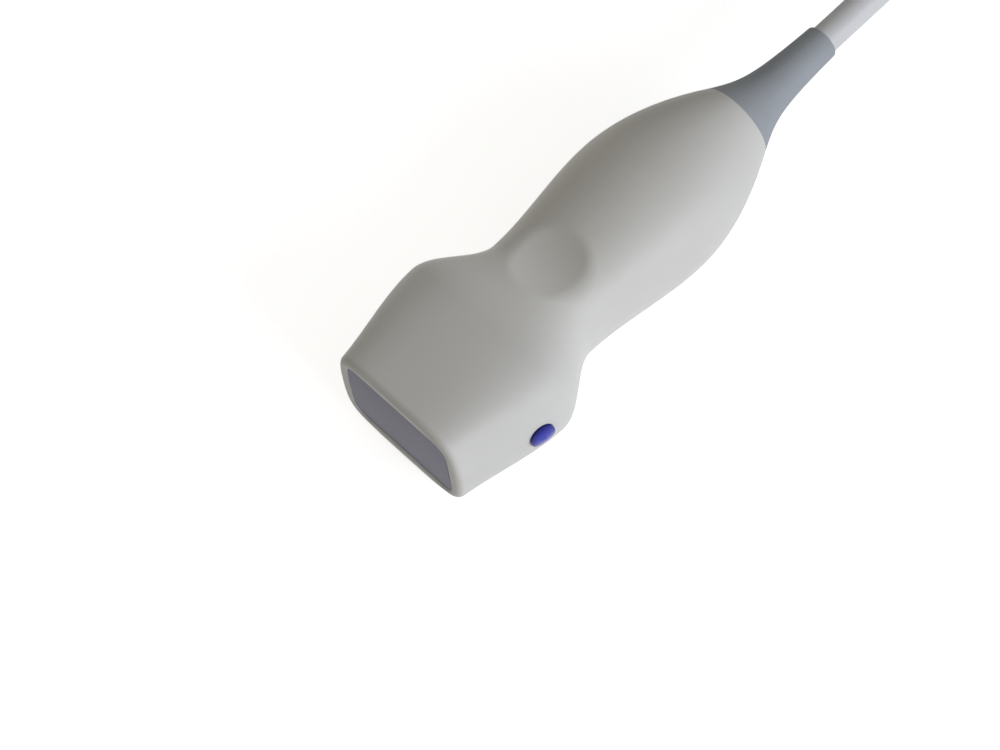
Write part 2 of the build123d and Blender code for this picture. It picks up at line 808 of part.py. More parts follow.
# Contact block: the insulator in the base's window, drilled for its contacts and the lock
field_offset = lock_recess_radius + contact_pitch / 2 + (contact_columns - 1) * contact_pitch / 2
contact_fields = [(plug_x - field_offset, plug_y), (plug_x + field_offset, plug_y)]
block_top = plug_floor + block_thickness
with BuildPart() as contact_block:
    with BuildSketch(Plane.XY.offset(plug_floor)):
        with Locations((plug_x, plug_y)):
            Rectangle(block_length, block_width)
    extrude(amount=block_thickness)
    with BuildSketch(Plane.XY.offset(plug_floor + plug_wall)):
        with Locations((plug_x, plug_y)):
            Rectangle(block_length + 2 * block_flange, block_width + 2 * block_flange)
    extrude(amount=block_thickness - plug_wall)
    with BuildSketch(Plane.XY.offset(plug_floor)):
        with Locations(*contact_fields):
            with GridLocations(contact_pitch, contact_pitch, contact_columns, contact_rows):
                Rectangle(contact_size + 2 * fit_gap, contact_size + 2 * fit_gap)
        with Locations((plug_x, plug_y)):
            Circle(lock_shaft_radius + running_gap)
    extrude(amount=block_thickness, mode=Mode.SUBTRACT)
    with BuildSketch(Plane.XY.offset(plug_floor)):
        with Locations((plug_x, plug_y)):
            Circle(lock_recess_radius)
    extrude(amount=lock_recess_depth, mode=Mode.SUBTRACT)
finish_piece(contact_block, "contact_block")

with BuildPart() as contacts:
    with BuildSketch(Plane.XY.offset(plug_floor)):
        with Locations(*contact_fields):
            with GridLocations(contact_pitch, contact_pitch, contact_columns, contact_rows):
                Rectangle(contact_size, contact_size)
    extrude(amount=block_thickness)
finish_piece(contacts, "contacts")

# Connector board: lies on the contact block, with a hole that clears the lock shaft
board_x = plug_x - plug_board_length / 2 + block_length / 2 - saddle_length - block_flange
with BuildPart() as plug_board:
    with BuildSketch(Plane.XY.offset(block_top)):
        with Locations((board_x, plug_y)):
            Rectangle(plug_board_length, plug_board_width)
        with Locations((plug_x, plug_y)):
            Circle(lock_collar_radius, mode=Mode.SUBTRACT)
    extrude(amount=plug_board_thickness)
finish_piece(plug_board, "plug_board")

# Connector harness: the cable's wires spread flat on to the board
board_top = block_top + plug_board_thickness
board_edge = board_x + plug_board_length / 2
with BuildPart() as plug_harness:
    board_face_end = Plane(origin=(board_edge, plug_y, board_top), x_dir=(0, 1, 0), z_dir=(1, 0, 0))
    cable_face = Plane(origin=(plug_cable_end, plug_y, plug_split), x_dir=(0, 1, 0), z_dir=(1, 0, 0))
    flat_end = bundle_section(board_face_end, ribbon_thickness / 2, ribbon_width, ribbon_thickness)
    round_end = bundle_section(cable_face, 0, 2 * bundle_side, 2 * bundle_side)
    extrude(flat_end, amount=-ribbon_overlap)
    loft([flat_end, round_end])
finish_piece(plug_harness, "plug_harness")

# Cable saddle: a bar screwed down over the cable on two posts of the base
with BuildPart() as cable_saddle:
    with BuildSketch(Plane.XY.offset(saddle_level)):
        with Locations((saddle_x, plug_y)):
            Rectangle(saddle_length, saddle_width)
        with Locations(*saddle_screws):
            Circle(pilot_radius, mode=Mode.SUBTRACT)
    extrude(amount=saddle_height)
finish_piece(cable_saddle, "cable_saddle")

with BuildPart() as saddle_screw_pair:
    for x, y in saddle_screws:
        under_head = Plane(origin=(x, y, saddle_level + saddle_height))
        shank = saddle_height + screw_grip
        add(screw_on(under_head, shank, screw_radius, screw_head_radius, screw_head_height))
finish_piece(saddle_screw_pair, "saddle_screws")

# Lock: a shaft with a cross pin in the contact face's recess, turned by the knob on the cover
shaft_foot = plug_floor + lock_recess_depth / 5
knob_floor = plug_top + knob_gap
shaft_top = knob_floor + knob_base * 0.75
with BuildPart() as lock_shaft:
    with BuildSketch(Plane.XY.offset(shaft_foot)):
        with Locations((plug_x, plug_y)):
            Circle(lock_shaft_radius)
    extrude(amount=shaft_top - shaft_foot)
    pin_level = plug_floor + lock_recess_depth / 2
    pin_half = lock_recess_radius - knob_gap - lock_pin_radius / 2
    with BuildSketch(Plane(origin=(plug_x, plug_y, pin_level), x_dir=(1, 0, 0), z_dir=(0, 1, 0))):
        Circle(lock_pin_radius)
    extrude(amount=pin_half, both=True)
    collar_level = plug_top - plug_wall - knob_gap - lock_collar_height
    with BuildSketch(Plane.XY.offset(collar_level)):
        with Locations((plug_x, plug_y)):
            Circle(lock_collar_radius)
    extrude(amount=lock_collar_height)
finish_piece(lock_shaft, "lock_shaft")

with BuildPart() as lock_knob:
    with BuildSketch(Plane.XY.offset(knob_floor)):
        with Locations((plug_x, plug_y)):
            Circle(knob_radius)
    extrude(amount=knob_base)
    with BuildSketch(Plane.XY.offset(knob_floor + knob_base)):
        with Locations((plug_x, plug_y)):
            SlotOverall(2 * knob_radius - knob_grip_width / 2, knob_grip_width)
    extrude(amount=knob_grip_height)
    fillet(lock_knob.faces().sort_by(Axis.Z)[-1].edges(), knob_grip_width / 5)
    with BuildSketch(Plane.XY.offset(knob_floor)):
        with Locations((plug_x, plug_y)):
            Circle(lock_shaft_radius + running_gap)
    extrude(amount=shaft_top - knob_floor, mode=Mode.SUBTRACT)
finish_piece(lock_knob, "lock_knob")
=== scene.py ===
from math import cos, pi, radians, sin

import bmesh
import bpy
from mathutils import Matrix, Quaternion, Vector


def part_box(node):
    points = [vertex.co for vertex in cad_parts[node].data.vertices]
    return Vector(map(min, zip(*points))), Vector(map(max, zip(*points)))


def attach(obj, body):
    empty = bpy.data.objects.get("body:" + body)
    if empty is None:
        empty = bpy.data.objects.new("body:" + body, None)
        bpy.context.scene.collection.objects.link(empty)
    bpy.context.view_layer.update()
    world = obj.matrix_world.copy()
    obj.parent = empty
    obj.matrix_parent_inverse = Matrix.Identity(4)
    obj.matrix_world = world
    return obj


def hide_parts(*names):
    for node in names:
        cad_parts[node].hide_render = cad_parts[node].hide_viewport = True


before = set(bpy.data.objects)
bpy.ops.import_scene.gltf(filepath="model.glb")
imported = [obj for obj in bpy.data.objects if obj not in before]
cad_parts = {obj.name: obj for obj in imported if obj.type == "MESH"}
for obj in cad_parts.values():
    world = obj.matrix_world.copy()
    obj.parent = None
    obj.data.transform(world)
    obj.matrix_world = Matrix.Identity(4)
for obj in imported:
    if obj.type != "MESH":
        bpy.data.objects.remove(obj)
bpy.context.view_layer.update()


# Handpiece shells
# Two moulded halves of off-white medical plastic, glued along the middle of the narrow sides.
# The mould gives them a fine satin grain; hands have left the grip a little smoother and warmer.

def new_group(name, takes, gives):
    """Return an empty shader group with the sockets inside it that it takes from and gives to."""
    group = bpy.data.node_groups.new(name, "ShaderNodeTree")
    for label, kind, value in takes:
        group.interface.new_socket(label, in_out="INPUT", socket_type=kind).default_value = value
    for label, kind in gives:
        group.interface.new_socket(label, in_out="OUTPUT", socket_type=kind)
    taken = group.nodes.new("NodeGroupInput").outputs
    given = group.nodes.new("NodeGroupOutput").inputs
    return group, taken, given


moulded_grain, taken, given = new_group(
    "moulded grain",
    [
        ("Colour", "NodeSocketColor", (0.8, 0.8, 0.8, 1)),
        ("Deep colour", "NodeSocketColor", (0.7, 0.7, 0.7, 1)),
        ("Grains per metre", "NodeSocketFloat", 3000.0),
        ("Patches per metre", "NodeSocketFloat", 40.0),
        ("Smoothest", "NodeSocketFloat", 0.4),
        ("Roughest", "NodeSocketFloat", 0.6),
    ],
    [("Colour", "NodeSocketColor"), ("Roughness", "NodeSocketFloat"), ("Height", "NodeSocketFloat")],
)


def feed(tree, socket, value):
    """Join another node's output to a socket, or set the socket to a plain value."""
    if isinstance(value, bpy.types.NodeSocket):
        tree.links.new(value, socket)
    else:
        socket.default_value = value


def place_in_frame(tree):
    """Return the output that gives each point's place in the frame, in metres."""
    return tree.nodes.new("ShaderNodeTexCoord").outputs["Object"]


def cloudy(tree, place, scale, **settings):
    """Return soft random spots, a number of them to the metre, as a value around a half."""
    node = tree.nodes.new("ShaderNodeTexNoise")
    feed(tree, node.inputs["Vector"], place)
    feed(tree, node.inputs["Scale"], scale)
    for label, value in settings.items():
        node.inputs[label.capitalize()].default_value = value
    return node.outputs["Fac"]


def ramp(tree, value, start, end, low=0.0, high=1.0, smooth=False):
    """Return a value that goes from low to high while another goes from start to end."""
    node = tree.nodes.new("ShaderNodeMapRange")
    node.interpolation_type = "SMOOTHSTEP" if smooth else "LINEAR"
    feed(tree, node.inputs["Value"], value)
    feed(tree, node.inputs["From Min"], start)
    feed(tree, node.inputs["From Max"], end)
    feed(tree, node.inputs["To Min"], low)
    feed(tree, node.inputs["To Max"], high)
    return node.outputs["Result"]


def mix_colours(tree, share, first, second, blend="MIX"):
    """Return the first colour where the share is 0, blended fully with the second where it is 1."""
    node = tree.nodes.new("ShaderNodeMix")
    node.data_type = "RGBA"
    node.blend_type = blend
    # The mixer's colour sockets share their names with other sockets, so they go by number
    feed(tree, node.inputs[0], share)
    feed(tree, node.inputs[6], first)
    feed(tree, node.inputs[7], second)
    return node.outputs[2]


place = place_in_frame(moulded_grain)
grain = cloudy(moulded_grain, place, taken["Grains per metre"], detail=3.0, roughness=0.6)
patches = cloudy(moulded_grain, place, taken["Patches per metre"], detail=4.0)
patch_share = ramp(moulded_grain, patches, start=0.35, end=0.65)
patch_colour = mix_colours(moulded_grain, patch_share, taken["Colour"], taken["Deep colour"])
grain_rough = ramp(
    moulded_grain, grain, start=0.3, end=0.7, low=taken["Smoothest"], high=taken["Roughest"],
)
feed(moulded_grain, given["Colour"], patch_colour)
feed(moulded_grain, given["Roughness"], grain_rough)
feed(moulded_grain, given["Height"], grain)


def place_group(tree, group, **values):
    """Put a shader group into a material, feed its inputs and return its node."""
    node = tree.nodes.new("ShaderNodeGroup")
    node.node_tree = group
    for label, value in values.items():
        feed(tree, node.inputs[label.replace("_", " ").capitalize()], value)
    return node


def raise_surface(tree, shader, height, strength, depth):
    """Give a shader a relief from a height output, and return the relief's node."""
    relief = tree.nodes.new("ShaderNodeBump")
    relief.inputs["Strength"].default_value = strength
    relief.inputs["Distance"].default_value = depth
    tree.links.new(height, relief.inputs["Height"])
    tree.links.new(relief.outputs["Normal"], shader.inputs["Normal"])
    return relief


def mould_surface(tree, shader, depth, **values):
    """Join the moulded grain to a shader, and return the nodes of the grain and its relief."""
    surface = place_group(tree, moulded_grain, **values)
    feed(tree, shader.inputs["Base Color"], surface.outputs["Colour"])
    feed(tree, shader.inputs["Roughness"], surface.outputs["Roughness"])
    relief = raise_surface(tree, shader, surface.outputs["Height"], strength=0.35, depth=depth)
    return surface, relief


parting_line, taken, given = new_group(
    "parting line",
    [
        ("Colour", "NodeSocketColor", (0.8, 0.8, 0.8, 1)),
        ("Height", "NodeSocketFloat", 0.5),
        ("Level", "NodeSocketFloat", 0.0),
        ("Half width", "NodeSocketFloat", 0.0001),
    ],
    [("Colour", "NodeSocketColor"), ("Height", "NodeSocketFloat")],
)


def split_place(tree):
    """Return the X, Y and Z outputs of each point's place in the frame."""
    node = tree.nodes.new("ShaderNodeSeparateXYZ")
    tree.links.new(place_in_frame(tree), node.inputs["Vector"])
    return node.outputs


def calculate(tree, operation, *values):
    """Return the result of a sum on plain values and other nodes' outputs."""
    node = tree.nodes.new("ShaderNodeMath")
    node.operation = operation
    for socket, value in zip(node.inputs, values):
        feed(tree, socket, value)
    return node.outputs["Value"]


line_shade = (0.84, 0.83, 0.81, 1)
above_line = calculate(parting_line, "SUBTRACT", split_place(parting_line)["Z"], taken["Level"])
from_line = calculate(parting_line, "ABSOLUTE", above_line)
clear_of_line = ramp(parting_line, from_line, start=0.0, end=taken["Half width"], smooth=True)
in_line = calculate(parting_line, "SUBTRACT", 1.0, clear_of_line)
line_colour = mix_colours(parting_line, in_line, taken["Colour"], line_shade, blend="MULTIPLY")
sunk_height = calculate(parting_line, "MULTIPLY", clear_of_line, taken["Height"])
feed(parting_line, given["Colour"], line_colour)
feed(parting_line, given["Height"], sunk_height)


def part_surface(tree, shader, surface, relief, level, half_width):
    """Mark the fine line where two moulded shells meet at a level above the table."""
    seam = place_group(
        tree, parting_line, level=level, half_width=half_width,
        colour=surface.outputs["Colour"], height=surface.outputs["Height"],
    )
    feed(tree, shader.inputs["Base Color"], seam.outputs["Colour"])
    feed(tree, relief.inputs["Height"], seam.outputs["Height"])
    return seam


def new_finish(name):
    """Return a new material with its node tree and main shader."""
    finish = bpy.data.materials.new(name)
    finish.use_nodes = True
    return finish, finish.node_tree, finish.node_tree.nodes["Principled BSDF"]


def paint(finish, *names):
    """Give a finish to pieces of the frame that keep their own shape."""
    for name in names:
        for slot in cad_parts[name].material_slots:
            slot.material = finish


shell_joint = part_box("upper_shell")[0].z
housing_plastic, tree, shader = new_finish("housing plastic")
surface, relief = mould_surface(
    tree, shader, depth=0.00003,
    colour=(0.665, 0.66, 0.64, 1), deep_colour=(0.64, 0.632, 0.605, 1),
    grains_per_metre=2600.0, patches_per_metre=35.0, smoothest=0.42, roughest=0.58,
)
seam = part_surface(tree, shader, surface, relief, level=shell_joint, half_width=0.00007)
shader.inputs["Specular IOR Level"].default_value = 0.22

# Where the fingers close round the waist, the grain is rubbed smoother and the white is a trace warmer
grip_middle = -0.006
grip_half_length = 0.03
grip_roughness = 0.86
grip_tint = (1.0, 0.997, 0.985, 1)
past_grip = calculate(tree, "SUBTRACT", split_place(tree)["X"], grip_middle)
from_grip = calculate(tree, "ABSOLUTE", past_grip)
handled = ramp(tree, from_grip, start=grip_half_length, end=grip_half_length / 3, smooth=True)
rubbed = ramp(tree, handled, start=0.0, end=1.0, low=1.0, high=grip_roughness)
smoother = calculate(tree, "MULTIPLY", rubbed, surface.outputs["Roughness"])
warmer = mix_colours(tree, handled, surface.outputs["Colour"], grip_tint, blend="MULTIPLY")
feed(tree, shader.inputs["Roughness"], smoother)
feed(tree, seam.inputs["Colour"], warmer)
paint(housing_plastic, "upper_shell", "lower_shell")


# Lens
# A pad of grey silicone rubber cast into the scan window, crowned to focus the beam.
# It is smooth and a little waxy, with a faint bloom from wiping.

lens_rubber, tree, shader = new_finish("lens rubber")
mould_surface(
    tree, shader, depth=0.00002,
    colour=(0.229, 0.219, 0.29, 1), deep_colour=(0.205, 0.198, 0.264, 1),
    grains_per_metre=1500.0, patches_per_metre=60.0, smoothest=0.45, roughest=0.6,
)
shader.inputs["Specular IOR Level"].default_value = 0.3
paint(lens_rubber, "lens")


# Acoustic stack
# Behind the lens: two filled-resin matching layers, a copper ground foil, the diced ceramic and a film
# of copper tracks, all bonded to a black loaded-epoxy backing inside an aluminium sleeve.

matching_resin, tree, shader = new_finish("matching resin")
mould_surface(
    tree, shader, depth=0.00002,
    colour=(0.5, 0.38, 0.22, 1), deep_colour=(0.4, 0.29, 0.16, 1),
    grains_per_metre=9000.0, patches_per_metre=300.0, smoothest=0.2, roughest=0.35,
)
paint(matching_resin, "outer_matching_layer", "inner_matching_layer")

drawn_metal, taken, given = new_group(
    "drawn metal",
    [
        ("Colour", "NodeSocketColor", (0.7, 0.7, 0.7, 1)),
        ("Deep colour", "NodeSocketColor", (0.5, 0.5, 0.5, 1)),
        ("Lines per metre", "NodeSocketFloat", 6000.0),
        ("Smoothest", "NodeSocketFloat", 0.2),
        ("Roughest", "NodeSocketFloat", 0.4),
    ],
    [("Colour", "NodeSocketColor"), ("Roughness", "NodeSocketFloat"), ("Height", "NodeSocketFloat")],
)
stretch = drawn_metal.nodes.new("ShaderNodeMapping")
stretch.inputs["Scale"].default_value = (0.04, 1.0, 1.0)
feed(drawn_metal, stretch.inputs["Vector"], place_in_frame(drawn_metal))
lines = cloudy(drawn_metal, stretch.outputs["Vector"], taken["Lines per metre"], detail=2.0)
tarnish = mix_colours(drawn_metal, lines, taken["Colour"], taken["Deep colour"])
line_rough = ramp(
    drawn_metal, lines, start=0.0, end=1.0, low=taken["Smoothest"], high=taken["Roughest"],
)
feed(drawn_metal, given["Colour"], tarnish)
feed(drawn_metal, given["Roughness"], line_rough)
feed(drawn_metal, given["Height"], lines)


def metal_surface(tree, shader, **values):
    """Join the drawn metal's lines to a metal shader's colour, roughness and relief."""
    surface = place_group(tree, drawn_metal, **values)
    shader.inputs["Metallic"].default_value = 1.0
    feed(tree, shader.inputs["Base Color"], surface.outputs["Colour"])
    feed(tree, shader.inputs["Roughness"], surface.outputs["Roughness"])
    raise_surface(tree, shader, surface.outputs["Height"], strength=0.3, depth=0.00001)


copper_film, tree, shader = new_finish("copper film")
metal_surface(
    tree, shader,
    colour=(0.8, 0.47, 0.28, 1), deep_colour=(0.6, 0.33, 0.18, 1),
    lines_per_metre=4000.0, smoothest=0.18, roughest=0.34,
)
paint(copper_film, "ground_foil", "signal_flex")

piezo_ceramic, tree, shader = new_finish("piezo ceramic")
mould_surface(
    tree, shader, depth=0.00001,
    colour=(0.6, 0.55, 0.44, 1), deep_colour=(0.5, 0.45, 0.35, 1),
    grains_per_metre=12000.0, patches_per_metre=400.0, smoothest=0.35, roughest=0.55,
)
paint(piezo_ceramic, "piezo_array")

backing_epoxy, tree, shader = new_finish("backing epoxy")
mould_surface(
    tree, shader, depth=0.00004,
    colour=(0.045, 0.045, 0.05, 1), deep_colour=(0.07, 0.07, 0.075, 1),
    grains_per_metre=5000.0, patches_per_metre=500.0, smoothest=0.4, roughest=0.7,
)
paint(backing_epoxy, "backing_block")

frame_aluminium, tree, shader = new_finish("frame aluminium")
metal_surface(
    tree, shader,
    colour=(0.74, 0.75, 0.77, 1), deep_colour=(0.6, 0.61, 0.63, 1),
    lines_per_metre=5000.0, smoothest=0.25, roughest=0.42,
)
paint(frame_aluminium, "array_frame")


# Interconnect boards
# Two glass-epoxy boards under green solder mask, screwed to posts in the shells, and one in the connector.
# The array's film plugs into a black socket at the front of each board in the handpiece.

def stripes(tree, direction, scale, **settings):
    """Return waves along a direction of the frame, as a value from 0 to 1."""
    node = tree.nodes.new("ShaderNodeTexWave")
    node.bands_direction = direction
    node.inputs["Scale"].default_value = scale
    for label, value in settings.items():
        node.inputs[label.capitalize()].default_value = value
    tree.links.new(place_in_frame(tree), node.inputs["Vector"])
    return node.outputs["Fac"]


mask_green = (0.012, 0.12, 0.05, 1)
track_green = (0.03, 0.22, 0.09, 1)
board_laminate, tree, shader = new_finish("board laminate")
tracks = ramp(tree, stripes(tree, "Y", 260.0, distortion=0.6, detail=0.0), start=0.45, end=0.55)
feed(tree, shader.inputs["Base Color"], mix_colours(tree, tracks, mask_green, track_green))
raise_surface(tree, shader, tracks, strength=0.4, depth=0.00003)
shader.inputs["Roughness"].default_value = 0.3
paint(board_laminate, "upper_board", "lower_board", "plug_board")

socket_plastic, tree, shader = new_finish("socket plastic")
mould_surface(
    tree, shader, depth=0.00002,
    colour=(0.06, 0.06, 0.065, 1), deep_colour=(0.09, 0.09, 0.095, 1),
    grains_per_metre=8000.0, patches_per_metre=200.0, smoothest=0.4, roughest=0.6,
)
paint(socket_plastic, "flex_sockets")


# Screws, ferrule and lock shaft
# Small plated steel turnings: board, clamp, shell and saddle screws, the ring crimped on the cable's braid
# and the shaft of the connector's lock.

screw_steel, tree, shader = new_finish("screw steel")
metal_surface(
    tree, shader,
    colour=(0.6, 0.6, 0.61, 1), deep_colour=(0.45, 0.45, 0.46, 1),
    lines_per_metre=7000.0, smoothest=0.2, roughest=0.38,
)
paint(
    screw_steel,
    "board_screws", "clamp_screws", "braid_ferrule", "plug_screws", "saddle_screws", "lock_shaft",
)


# Wire bundles
# Hair-thin coaxial wires with brown jackets, one to each element of the array.
# They fan out flat from the cable's end, are soldered to the boards and held by a little glue.

jacket_brown = (0.24, 0.13, 0.07, 1)
jacket_light = (0.55, 0.36, 0.21, 1)
wire_jacket, tree, shader = new_finish("wire jacket")
strands = stripes(tree, "Y", 500.0, distortion=1.5)
feed(tree, shader.inputs["Base Color"], mix_colours(tree, strands, jacket_brown, jacket_light))
raise_surface(tree, shader, strands, strength=0.7, depth=0.0002)
shader.inputs["Roughness"].default_value = 0.35
paint(wire_jacket, "coax_harness", "plug_harness")


# Cable clamps
# Black mouldings of glass-filled plastic that grip the cable's jacket against a pull.
# The handpiece has a split block on two screws, the connector a bar across two posts.

clamp_plastic, tree, shader = new_finish("clamp plastic")
mould_surface(
    tree, shader, depth=0.00005,
    colour=(0.1, 0.1, 0.105, 1), deep_colour=(0.15, 0.15, 0.155, 1),
    grains_per_metre=4000.0, patches_per_metre=150.0, smoothest=0.5, roughest=0.75,
)
paint(clamp_plastic, "upper_clamp", "lower_clamp", "cable_saddle")


# Strain relief boots
# Soft grey elastomer sleeves, tapered on to the cable, their flanges caught inside the shells.
# They have a dry matt skin that picks up dust.

boot_rubber, tree, shader = new_finish("boot rubber")
mould_surface(
    tree, shader, depth=0.00004,
    colour=(0.345, 0.368, 0.396, 1), deep_colour=(0.315, 0.338, 0.37, 1),
    grains_per_metre=2200.0, patches_per_metre=80.0, smoothest=0.6, roughest=0.8,
)
shader.inputs["Specular IOR Level"].default_value = 0.3
paint(boot_rubber, "strain_relief_boot", "plug_boot")


# Orientation marker
# A domed oval button of glossy blue plastic, moulded apart and glued into a pocket of the narrow side.
# It tells the hand and the eye which edge of the picture this side of the lens gives.

marker_blue, tree, shader = new_finish("marker blue")
surface, _ = mould_surface(
    tree, shader, depth=0.00001,
    colour=(0.03, 0.042, 0.46, 1), deep_colour=(0.024, 0.032, 0.38, 1),
    grains_per_metre=3000.0, patches_per_metre=500.0, smoothest=0.16, roughest=0.26,
)
shader.inputs["Specular IOR Level"].default_value = 0.14


def calculate_vector(tree, operation, *values):
    """Return the outputs of a sum on places or directions: a vector, or one value."""
    node = tree.nodes.new("ShaderNodeVectorMath")
    node.operation = operation
    for socket, value in zip(node.inputs, values):
        feed(tree, socket, value)
    return node.outputs


# Painted shade: the blue is darkened towards the button's thin rounded edge, where its dome turns from the
# light
rim_shade_blue = (0.008, 0.011, 0.17, 1)
marker_low, marker_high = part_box("orientation_marker")
marker_height = marker_high.z - marker_low.z
rim_shade_start = marker_height * 0.2
rim_shade_end = marker_height * 0.5
marker_top = ((marker_low.x + marker_high.x) / 2, marker_low.y, (marker_low.z + marker_high.z) / 2)
from_top = calculate_vector(tree, "DISTANCE", place_in_frame(tree), marker_top)["Value"]
rim_shade_share = ramp(tree, from_top, start=rim_shade_start, end=rim_shade_end, smooth=True)
# The painted rim shade is mixed into the marker's own blue here
marker_colour_with_shade = mix_colours(tree, rim_shade_share, surface.outputs["Colour"], rim_shade_blue)
feed(tree, shader.inputs["Base Color"], marker_colour_with_shade)
paint(marker_blue, "orientation_marker")


# Cable
# One round cable of fine coaxial wires in a soft light grey jacket, about 1.9 m long.
# It leaves the boot straight, is wound eight times for storage, and runs along the table to its connector.

cable_diameter = 0.0058
cable_start = (0.01395, 0.0, 0.0132)
lead_points = [(0.042, 0.0, 0.0132), (0.06, 0.0, 0.0132), (0.074, 0.0, 0.0132), (0.086, 0.0, 0.0148)]
tail_points = [
    (0.10125, -0.0006, 0.0037),
    (0.13113, -0.0015, 0.0037),
    (0.1635, 0.0, 0.0037),
    (0.17927, 0.00988, 0.0037),
    (0.18425, 0.026, 0.00676),
    (0.1801, 0.04212, 0.01424),
    (0.16848, 0.052, 0.02257),
    (0.15375, 0.052, 0.0282),
    (0.1135, 0.052, 0.0282),
]
coil_low, coil_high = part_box("cable_coil")
coil_middle = (coil_low + coil_high) / 2
bundle_half = (coil_high.z - coil_low.z) / 2
coil_radius = (coil_high.x - coil_low.x) / 2 - bundle_half

# The bundle has nine places, three wide and three high, counted outwards and upwards from its middle.
# The cable keeps to each for 320 degrees and moves on to the next, so eight turns fill all nine
winding = [(1, 1), (1, 0), (0, 0), (0, 1), (-1, 1), (-1, 0), (-1, -1), (0, -1), (1, -1)]
steps_in_place = 16
step_angle = 20
first_angle = -90
coil_points = []
for visit, (column, layer) in enumerate(winding):
    next_column, next_layer = winding[min(visit + 1, len(winding) - 1)]
    for step in range(steps_in_place):
        shift = 0.5 if step == steps_in_place - 1 else 0.0
        radius = coil_radius + cable_diameter * (column + shift * (next_column - column))
        height = cable_diameter * (layer + shift * (next_layer - layer))
        angle = radians((visit * steps_in_place + step) * step_angle + first_angle)
        coil_points.append(coil_middle + Vector((radius * cos(angle), radius * sin(angle), height)))

cable_points = [cable_start] + lead_points + coil_points + tail_points
cable_curve = bpy.data.curves.new("cable", "CURVE")
cable_curve.dimensions = "3D"
cable_curve.bevel_depth = cable_diameter / 2
cable_curve.bevel_resolution = 6
cable_curve.resolution_u = 6
cable_curve.use_fill_caps = True
cable_line = cable_curve.splines.new("NURBS")
cable_line.points.add(len(cable_points) - 1)
for knot, point in zip(cable_line.points, cable_points):
    knot.co = (*point, 1)
cable_line.order_u = 3
cable_line.use_endpoint_u = True
cable = bpy.data.objects.new("cable", cable_curve)
bpy.context.collection.objects.link(cable)

cable_jacket, tree, shader = new_finish("cable jacket")
mould_surface(
    tree, shader, depth=0.00003,
    colour=(0.64, 0.645, 0.658, 1), deep_colour=(0.61, 0.614, 0.622, 1),
    grains_per_metre=2500.0, patches_per_metre=60.0, smoothest=0.4, roughest=0.55,
)
cable_curve.materials.append(cable_jacket)
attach(cable, "probe")
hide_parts("cable_lead", "cable_coil", "cable_tail")


# Cable tie
# A black woven strap with hooks on one face and loops on the other.
# It is wrapped once round the wound turns and pressed shut where it laps over its own end.

# The strap is a little thinner than the room each layer of it takes, so its lapped end lies clear
strap_room = 0.0007
strap_thickness = 0.00063
strap_edge = 0.000175
strap_width = 0.0088
strap_angle = -35
lap_length = 0.016
lap_rise = 0.004
corner_radius = 0.005
strap_half = bundle_half + strap_room / 2
straight_half = strap_half - corner_radius
strap_side = 2 * straight_half
strap_bend = pi / 2 * corner_radius
strap_round = 4 * (strap_side + strap_bend)


def strap_profile(distance):
    """Return the strap's place and outward direction, a distance round the bundle from its top."""
    distance = (distance + straight_half) % strap_round
    quarter = int(distance // (strap_side + strap_bend))
    along = distance - quarter * (strap_side + strap_bend)
    if along <= strap_side:
        place = Vector((along - straight_half, strap_half))
        outward = Vector((0.0, 1.0))
    else:
        bent = (along - strap_side) / corner_radius
        outward = Vector((sin(bent), cos(bent)))
        place = Vector((straight_half, straight_half)) + outward * corner_radius
    spin = Matrix.Rotation(-pi / 2 * quarter, 2)
    return spin @ place, spin @ outward


strap_steps = 96
strap_columns = 8
strap_mesh = bmesh.new()
rows = []
for step in range(strap_steps + 1):
    distance = step / strap_steps * (strap_round + lap_length)
    place, outward = strap_profile(distance)
    lapped = min(max((distance - strap_round + lap_rise) / lap_rise, 0.0), 1.0)
    place = place + outward * lapped * strap_room
    reach = coil_radius + place.x
    row = []
    for column in range(strap_columns + 1):
        across = (column / strap_columns - 0.5) * strap_width
        angle = radians(strap_angle) + across / coil_radius
        spot = coil_middle + Vector((reach * cos(angle), reach * sin(angle), place.y))
        row.append(strap_mesh.verts.new(spot))
    rows.append(row)
for row, following in zip(rows, rows[1:]):
    for a, b, c, d in zip(row, row[1:], following[1:], following):
        strap_mesh.faces.new((a, b, c, d)).smooth = True
strap_data = bpy.data.meshes.new("cable strap")
strap_mesh.to_mesh(strap_data)
strap_mesh.free()
strap = bpy.data.objects.new("cable_strap", strap_data)
bpy.context.collection.objects.link(strap)
body = strap.modifiers.new("body", "SOLIDIFY")
body.thickness = strap_thickness
body.offset = 0.0
edge = strap.modifiers.new("edge", "BEVEL")
edge.width = strap_edge
edge.segments = 2
edge.limit_method = "ANGLE"

thread_black = (0.03, 0.03, 0.034, 1)
thread_worn = (0.085, 0.085, 0.092, 1)
tie_fabric, tree, shader = new_finish("tie fabric")
warp = stripes(tree, "Z", 900.0)
weft = stripes(tree, "DIAGONAL", 700.0)
weave = calculate(tree, "MULTIPLY", warp, weft)
feed(tree, shader.inputs["Base Color"], mix_colours(tree, weave, thread_black, thread_worn))
raise_surface(tree, shader, weave, strength=0.6, depth=0.0002)
shader.inputs["Roughness"].default_value = 0.9
strap_data.materials.append(tie_fabric)
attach(strap, "probe")
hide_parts("cable_tie")


# Connector
# A flat box in the handpiece's plastic, two shells and four screws, lying contact face down on the coil.
# A black insulator carries the gold contacts; the grey knob on top turns the lock through a quarter.

cover_low, cover_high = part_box("plug_cover")
plug_plastic, tree, shader = new_finish("plug plastic")
surface, relief = mould_surface(
    tree, shader, depth=0.00004,
    colour=(0.63, 0.625, 0.605, 1), deep_colour=(0.6, 0.592, 0.565, 1),
    grains_per_metre=2000.0, patches_per_metre=30.0, smoothest=0.48, roughest=0.64,
)
seam = part_surface(tree, shader, surface, relief, level=cover_low.z, half_width=0.00025)

